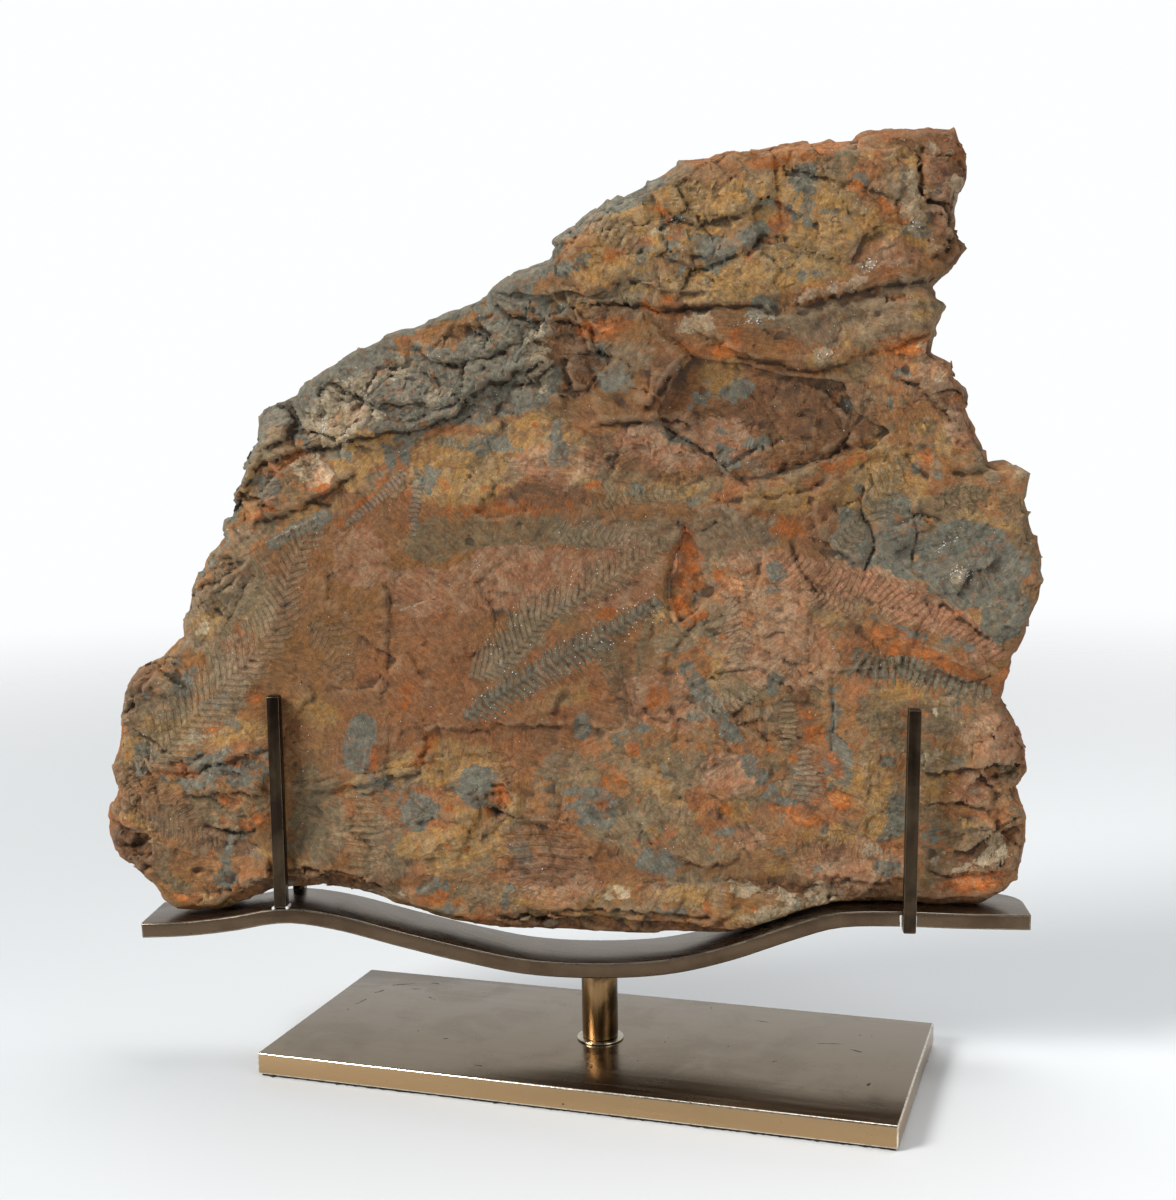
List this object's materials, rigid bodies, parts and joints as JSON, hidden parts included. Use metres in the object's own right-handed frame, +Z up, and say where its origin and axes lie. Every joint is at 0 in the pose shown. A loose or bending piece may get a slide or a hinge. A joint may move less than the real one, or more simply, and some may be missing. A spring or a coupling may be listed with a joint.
{
  "type": "fossil fern plate",
  "caption": "Broken rust-brown stone slab with fern impressions, standing on edge in a wavy bronze cradle that swivels on a short post above a flat base plate.",
  "frame": {"origin": "centre of the underside of the pad under the base plate", "axes": "+Z up, +X along the base plate's length to the viewer's right, -Y towards the viewer of the fern side"},
  "size_m": [0.604, 0.1898, 0.605],
  "materials": {
    "stone": "rough broken ironstone",
    "bronze_base": "satin dark bronze",
    "bronze_bar": "satin dark bronze",
    "washer_metal": "brushed",
    "felt": "matt"
  },
  "bodies": {
    "base": {"base_felt": "felt", "base_plate": "bronze_base", "swivel_washer": "washer_metal"},
    "turntable": {"post": "bronze_bar", "cradle": "bronze_bar", "front_prong_left": "bronze_bar", "front_prong_right": "bronze_bar", "rear_prong_left": "bronze_bar", "rear_prong_right": "bronze_bar", "fossil_slab": "stone"}
  },
  "joints": [
    {"name": "post_swivel", "type": "hinge", "parent": "base", "child": "turntable", "pos_m": [0, 0, 0.0178], "axis": [0, 0, 1], "continuous": true}
  ]
}
